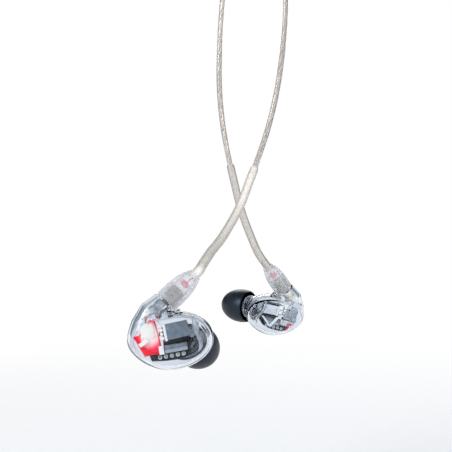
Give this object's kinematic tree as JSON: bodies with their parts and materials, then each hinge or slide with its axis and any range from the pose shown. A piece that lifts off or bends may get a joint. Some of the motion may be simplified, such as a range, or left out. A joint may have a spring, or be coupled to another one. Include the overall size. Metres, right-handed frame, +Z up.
{
  "type": "in ear monitors",
  "caption": "Pair of clear multi-driver in-ear monitors on a split lead, with swivelling snap-in cable connectors, removable tips and a cinch slider.",
  "frame": {"origin": "centre of the main lead's cut end, at the top", "axes": "+Z up along the main lead, +X to the viewer's right, -Y towards the viewer who faces the left earpiece"},
  "size_m": [0.0548, 0.0879, 0.19],
  "materials": {
    "clear_shell": "polished clear polycarbonate",
    "clear_part": "clear moulded plastic",
    "frosted_boot": "milky translucent elastomer, satin",
    "lead_jacket": "clear jacket",
    "sleeve": "translucent grey sleeve",
    "stranded_wire": "silvered and bare copper strands",
    "formable_wire": "drawn wire",
    "plug_metal": "warm satin nickel",
    "socket_metal": "pale plated metal",
    "contact_metal": "plated contact",
    "red_plastic": "gloss red",
    "silver_plate": "satin silver",
    "cream_plastic": "cream plate",
    "driver_steel": "dark blue-grey steel",
    "black_plastic": "black",
    "tip_rubber": "smooth matt black silicone"
  },
  "bodies": {
    "loom": {"main_lead_jacket": "lead_jacket", "main_lead_core": "stranded_wire", "y_split_body": "frosted_boot", "left_upper_jacket": "lead_jacket", "left_upper_core": "stranded_wire", "right_upper_jacket": "lead_jacket", "right_upper_core": "stranded_wire"},
    "cinch": {"cinch_slider": "clear_part"},
    "left_lead": {"left_memory_sleeve": "sleeve", "left_formable_core": "formable_wire", "left_boot": "frosted_boot", "left_plug_barrel": "plug_metal", "left_side_marker": "red_plastic"},
    "left_ring": {"left_snap_ring": "contact_metal"},
    "left_earpiece": {"left_outer_shell": "clear_shell", "left_inner_shell": "clear_shell", "left_socket": "socket_metal", "left_socket_pin": "contact_metal", "left_woofer_driver": "driver_steel", "left_mid_driver": "driver_steel", "left_tweeter_driver": "driver_steel", "left_driver_bracket": "black_plastic", "left_crossover_board": "black_plastic", "left_component_row": "contact_metal", "left_acoustic_module": "red_plastic", "left_module_plate": "cream_plastic", "left_module_clip": "cream_plastic", "left_sound_duct": "clear_part", "left_nozzle": "clear_part", "left_filter_insert": "silver_plate", "left_wax_mesh": "contact_metal"},
    "left_collar": {"left_nozzle_collar": "clear_part"},
    "left_tip": {"left_ear_tip": "tip_rubber"},
    "right_lead": {"right_memory_sleeve": "sleeve", "right_formable_core": "formable_wire", "right_boot": "frosted_boot", "right_plug_barrel": "plug_metal", "right_side_marker": "red_plastic"},
    "right_ring": {"right_snap_ring": "contact_metal"},
    "right_earpiece": {"right_outer_shell": "clear_shell", "right_inner_shell": "clear_shell", "right_socket": "socket_metal", "right_socket_pin": "contact_metal", "right_woofer_driver": "silver_plate", "right_mid_driver": "silver_plate", "right_tweeter_driver": "driver_steel", "right_driver_bracket": "black_plastic", "right_crossover_board": "black_plastic", "right_component_row": "contact_metal", "right_acoustic_module": "silver_plate", "right_module_plate": "cream_plastic", "right_module_clip": "cream_plastic", "right_sound_duct": "clear_part", "right_nozzle": "clear_part", "right_filter_insert": "silver_plate", "right_wax_mesh": "contact_metal"},
    "right_collar": {"right_nozzle_collar": "clear_part"},
    "right_tip": {"right_ear_tip": "tip_rubber"}
  },
  "joints": [
    {"name": "cinch_slide", "type": "slide", "parent": "loom", "child": "cinch", "axis": [0, 0, -1], "range_m": [0, 0.012]},
    {"name": "left_swing", "type": "hinge", "parent": "loom", "child": "left_lead", "pos_m": [-0.0002, -0.0205, -0.1301], "axis": [0, 1, 0], "range_deg": [-15, 15], "stiffness_Nm_per_rad": 0.01, "springref_deg": 5.67},
    {"name": "left_swivel", "type": "hinge", "parent": "left_lead", "child": "left_ring", "pos_m": [-0.02604, -0.06038, -0.16995], "axis": [0.6876, 0.3487, 0.6369], "continuous": true},
    {"name": "left_detach", "type": "slide", "parent": "left_ring", "child": "left_earpiece", "axis": [-0.6876, -0.3487, -0.6369], "range_m": [0, 0.006]},
    {"name": "left_collar_turn", "type": "hinge", "parent": "left_earpiece", "child": "left_collar", "pos_m": [-0.02036, -0.05381, -0.18127], "axis": [0.4019, 0.8319, -0.3826], "range_deg": [0, 360]},
    {"name": "left_tip_slide", "type": "slide", "parent": "left_earpiece", "child": "left_tip", "axis": [0.4019, 0.8319, -0.3826], "range_m": [0, 0.01]},
    {"name": "right_swing", "type": "hinge", "parent": "loom", "child": "right_lead", "pos_m": [-0.00825, 0.001, -0.127], "axis": [0, 1, 0], "range_deg": [-15, 15], "stiffness_Nm_per_rad": 0.01, "springref_deg": -4.7},
    {"name": "right_swivel", "type": "hinge", "parent": "right_lead", "child": "right_ring", "pos_m": [0.01174, 0.00386, -0.173], "axis": [-0.5639, -0.2635, 0.7827], "continuous": true},
    {"name": "right_detach", "type": "slide", "parent": "right_ring", "child": "right_earpiece", "axis": [0.5639, 0.2635, -0.7827], "range_m": [0, 0.006]},
    {"name": "right_collar_turn", "type": "hinge", "parent": "right_earpiece", "child": "right_collar", "pos_m": [0.00096, 0.01008, -0.17997], "axis": [-0.7994, 0.5996, 0.0383], "range_deg": [0, 360]},
    {"name": "right_tip_slide", "type": "slide", "parent": "right_earpiece", "child": "right_tip", "axis": [-0.7994, 0.5996, 0.0383], "range_m": [0, 0.01]}
  ]
}
